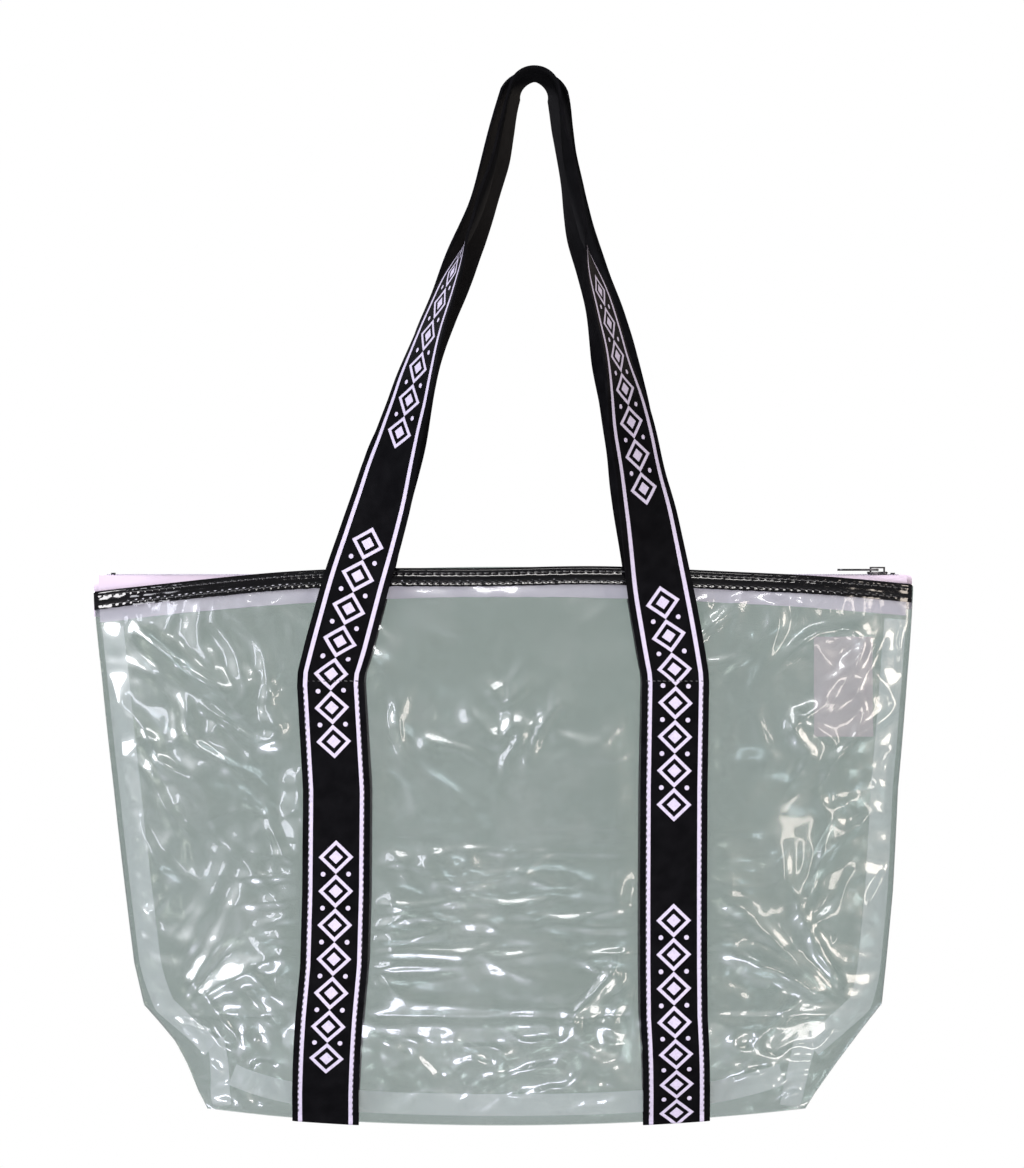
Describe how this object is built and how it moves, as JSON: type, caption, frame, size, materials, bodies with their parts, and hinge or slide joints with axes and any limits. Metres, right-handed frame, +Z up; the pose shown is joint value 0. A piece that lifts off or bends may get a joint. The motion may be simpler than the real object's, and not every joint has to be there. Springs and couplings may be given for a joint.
{
  "type": "beach bag",
  "caption": "Clear zip-top tote with boxed base, patent-bound rim, full-wrap webbing straps and two long handles, hanging from a hook.",
  "frame": {"origin": "where the crown of the two handle arches rests on the hook, midway between the handles", "axes": "+Z up, +X along the zip towards its closed end, front face towards -Y"},
  "size_m": [0.492, 0.084, 0.6325],
  "materials": {
    "clear_pvc": "clear glossy vinyl sheet, faint sage tint, wrinkled",
    "seam_tape": "translucent whitish seam binding",
    "patent_binding": "black patent vinyl, high gloss, dimpled by stitches",
    "thread_black": "black polyester thread",
    "zip_tape": "white-lilac woven zip tape",
    "zip_teeth": "white-lilac nylon coil",
    "metal": "dark gunmetal plated zinc",
    "webbing": "black woven polyester webbing with white printed borders and pattern",
    "label": "blank satin care label"
  },
  "bodies": {
    "bag": {"front_panel": "clear_pvc", "back_panel": "clear_pvc", "side_seam_tape_left": "seam_tape", "side_seam_tape_right": "seam_tape", "corner_seam_tape_left": "seam_tape", "corner_seam_tape_right": "seam_tape", "bottom_seam_tape": "seam_tape", "front_rim_binding": "patent_binding", "back_rim_binding": "patent_binding", "front_rim_thread": "thread_black", "back_rim_thread": "thread_black", "front_zip_tape": "zip_tape", "back_zip_tape": "zip_tape", "front_zip_teeth": "zip_teeth", "back_zip_teeth": "zip_teeth", "zip_end_tab_left": "zip_tape", "zip_end_tab_right": "zip_tape", "zip_stop_left": "metal", "zip_stop_right": "metal", "front_strap_left": "webbing", "front_strap_right": "webbing", "back_strap_left": "webbing", "back_strap_right": "webbing", "front_strap_thread": "thread_black", "back_strap_thread": "thread_black", "care_label": "label"},
    "front_handle": {"front_handle": "webbing"},
    "back_handle": {"back_handle": "webbing"},
    "zip_slider": {"slider_body": "metal"},
    "pull_tab": {"pull_tab": "metal"}
  },
  "joints": [
    {"name": "front_handle_swing", "type": "hinge", "parent": "bag", "child": "front_handle", "pos_m": [-0.0186, -0.02207, -0.361], "axis": [1, 0, 0], "range_deg": [0, 165]},
    {"name": "back_handle_swing", "type": "hinge", "parent": "bag", "child": "back_handle", "pos_m": [-0.0186, 0.02207, -0.361], "axis": [-1, 0, 0], "range_deg": [0, 165]},
    {"name": "zip_slide", "type": "slide", "parent": "bag", "child": "zip_slider", "axis": [-1, 0, 0], "range_m": [0, 0.445]},
    {"name": "pull_tab_swing", "type": "hinge", "parent": "zip_slider", "child": "pull_tab", "pos_m": [0.206, 0, -0.2969], "axis": [0, 1, 0], "range_deg": [0, 176]}
  ]
}
